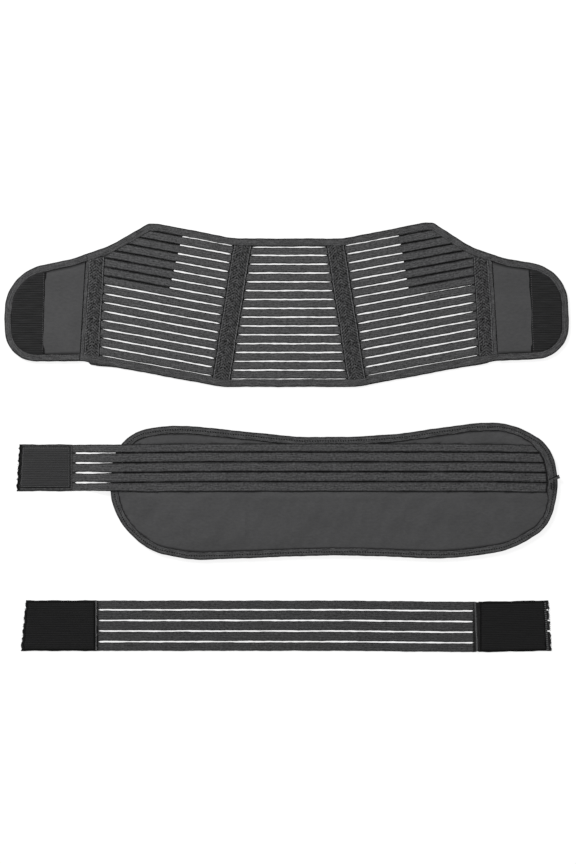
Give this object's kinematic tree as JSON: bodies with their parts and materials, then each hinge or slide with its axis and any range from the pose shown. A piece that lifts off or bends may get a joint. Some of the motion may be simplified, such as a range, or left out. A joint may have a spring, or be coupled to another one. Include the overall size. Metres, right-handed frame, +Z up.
{
  "type": "lumbar support belt set",
  "caption": "Elastic lumbar support set lying flat: a slotted back brace with stays, a padded belly band with a tail, and a slotted strap, all with hook ends.",
  "frame": {"origin": "centre of the set's footprint, on the surface that it lies on", "axes": "+X along the belts towards the wearer's right-hand end as drawn, +Y from the strap towards the brace, +Z up out of the inner faces"},
  "size_m": [0.8187, 0.6214, 0.0068],
  "materials": {
    "stay_plastic": "flat flexible polypropylene boning, hidden in its casing",
    "foam": "thin closed foam core, hidden between two fabrics",
    "hook_fabric": "black woven tape with rows of moulded hooks",
    "binding_tape": "folded knitted edge binding with a row of stitches",
    "casing_tape": "herringbone tape, charcoal with lighter flecks",
    "loop_fabric": "brushed loop-pile fabric, charcoal",
    "pad_fabric": "smooth brushed knit laminated to foam, charcoal",
    "slotted_elastic": "ribbed woven elastic in parallel strips with open slots"
  },
  "bodies": {
    "brace_center": {"center_elastic": "slotted_elastic", "center_binding": "binding_tape", "left_back_casing": "casing_tape", "left_back_stay": "stay_plastic", "right_back_casing": "casing_tape", "right_back_stay": "stay_plastic"},
    "left_side": {"left_side_elastic": "slotted_elastic", "left_side_binding": "binding_tape", "left_loop_patch": "loop_fabric"},
    "left_end": {"left_end_casing": "casing_tape", "left_end_stay": "stay_plastic", "left_seam_tape": "casing_tape"},
    "left_tab": {"left_tab_lining": "pad_fabric", "left_tab_foam": "foam", "left_tab_loop_face": "loop_fabric", "left_tab_binding": "binding_tape", "left_tab_hook": "hook_fabric"},
    "right_side": {"right_side_elastic": "slotted_elastic", "right_side_binding": "binding_tape", "right_loop_patch": "loop_fabric"},
    "right_end": {"right_end_casing": "casing_tape", "right_end_stay": "stay_plastic", "right_seam_tape": "casing_tape"},
    "right_tab": {"right_tab_lining": "pad_fabric", "right_tab_foam": "foam", "right_tab_loop_face": "loop_fabric", "right_tab_binding": "binding_tape", "right_tab_hook": "hook_fabric"},
    "band_middle": {"band_middle_lining": "pad_fabric", "band_middle_foam": "foam", "band_middle_front": "pad_fabric", "band_middle_binding": "binding_tape", "band_middle_webbing": "slotted_elastic"},
    "band_left": {"band_left_lining": "pad_fabric", "band_left_foam": "foam", "band_left_front": "pad_fabric", "band_left_binding": "binding_tape", "band_left_webbing": "slotted_elastic"},
    "band_right": {"band_right_lining": "pad_fabric", "band_right_foam": "foam", "band_right_front": "pad_fabric", "band_right_binding": "binding_tape", "band_right_webbing": "slotted_elastic", "band_rear_hook": "hook_fabric", "binding_join": "binding_tape"},
    "band_tail": {"tail_webbing": "slotted_elastic"},
    "band_tail_end": {"tail_end_webbing": "slotted_elastic", "tail_hook": "hook_fabric"},
    "strap_middle": {"strap_middle_webbing": "slotted_elastic"},
    "strap_left": {"strap_left_webbing": "slotted_elastic"},
    "strap_right": {"strap_right_webbing": "slotted_elastic"},
    "strap_right_join": {"strap_right_seam": "casing_tape"},
    "strap_left_tab": {"strap_left_end_webbing": "slotted_elastic", "strap_left_seam": "casing_tape", "strap_left_hook": "hook_fabric"},
    "strap_right_tab": {"strap_right_end_webbing": "slotted_elastic", "strap_right_hook": "hook_fabric"}
  },
  "joints": [
    {"name": "left_wrap", "type": "hinge", "parent": "brace_center", "child": "left_side", "pos_m": [-0.09272, 0.1798, 0.0036], "axis": [0.158, 0.9874, 0], "range_deg": [0, 75]},
    {"name": "left_side_stretch", "type": "slide", "parent": "left_side", "child": "left_end", "axis": [-0.9837, 0.18, 0], "range_m": [0, 0.04], "stiffness_N_per_m": 400, "deforming": ["left_side_elastic", "left_side_binding"]},
    {"name": "left_tab_fold", "type": "hinge", "parent": "left_end", "child": "left_tab", "pos_m": [-0.29616, 0.1818, 0.0036], "axis": [0.0584, 0.9983, 0], "range_deg": [0, 75]},
    {"name": "right_wrap", "type": "hinge", "parent": "brace_center", "child": "right_side", "pos_m": [0.09992, 0.1798, 0.0036], "axis": [0.158, -0.9874, 0], "range_deg": [0, 75]},
    {"name": "right_side_stretch", "type": "slide", "parent": "right_side", "child": "right_end", "axis": [0.9837, 0.18, 0], "range_m": [0, 0.04], "stiffness_N_per_m": 400, "deforming": ["right_side_elastic", "right_side_binding"]},
    {"name": "right_tab_fold", "type": "hinge", "parent": "right_end", "child": "right_tab", "pos_m": [0.30336, 0.1818, 0.0036], "axis": [0.0584, -0.9983, 0], "range_deg": [0, 75]},
    {"name": "band_lift", "type": "slide", "parent": "brace_center", "child": "band_middle", "axis": [0, 0, 1], "range_m": [0, 0.15]},
    {"name": "band_left_wrap", "type": "hinge", "parent": "band_middle", "child": "band_left", "pos_m": [-0.06, -0.08, 0.0068], "axis": [0, 1, 0], "range_deg": [0, 75]},
    {"name": "band_right_wrap", "type": "hinge", "parent": "band_middle", "child": "band_right", "pos_m": [0.172, -0.08, 0.0068], "axis": [0, -1, 0], "range_deg": [0, 75]},
    {"name": "band_tail_fold", "type": "hinge", "parent": "band_left", "child": "band_tail", "pos_m": [-0.259, -0.045, 0.0068], "axis": [0, 1, 0], "range_deg": [0, 90]},
    {"name": "band_tail_stretch", "type": "slide", "parent": "band_tail", "child": "band_tail_end", "axis": [-1, 0, 0], "range_m": [0, 0.02], "stiffness_N_per_m": 400, "deforming": ["tail_webbing"]},
    {"name": "strap_lift", "type": "slide", "parent": "brace_center", "child": "strap_middle", "axis": [0, 0, 1], "range_m": [0, 0.15]},
    {"name": "strap_left_wrap", "type": "hinge", "parent": "strap_middle", "child": "strap_left", "pos_m": [-0.092, -0.2745, 0.0014], "axis": [0, 1, 0], "range_deg": [0, 75]},
    {"name": "strap_right_wrap", "type": "hinge", "parent": "strap_middle", "child": "strap_right", "pos_m": [0.09, -0.2745, 0.0014], "axis": [0, -1, 0], "range_deg": [0, 75]},
    {"name": "strap_left_tab_fold", "type": "hinge", "parent": "strap_left", "child": "strap_left_tab", "pos_m": [-0.275, -0.2745, 0.0014], "axis": [0, 1, 0], "range_deg": [0, 90]},
    {"name": "strap_stretch", "type": "slide", "parent": "strap_right", "child": "strap_right_join", "axis": [1, 0, 0], "range_m": [0, 0.08], "stiffness_N_per_m": 150, "deforming": ["strap_right_webbing"]},
    {"name": "strap_right_tab_fold", "type": "hinge", "parent": "strap_right_join", "child": "strap_right_tab", "pos_m": [0.2784, -0.2745, 0.002], "axis": [0, -1, 0], "range_deg": [0, 90]}
  ]
}
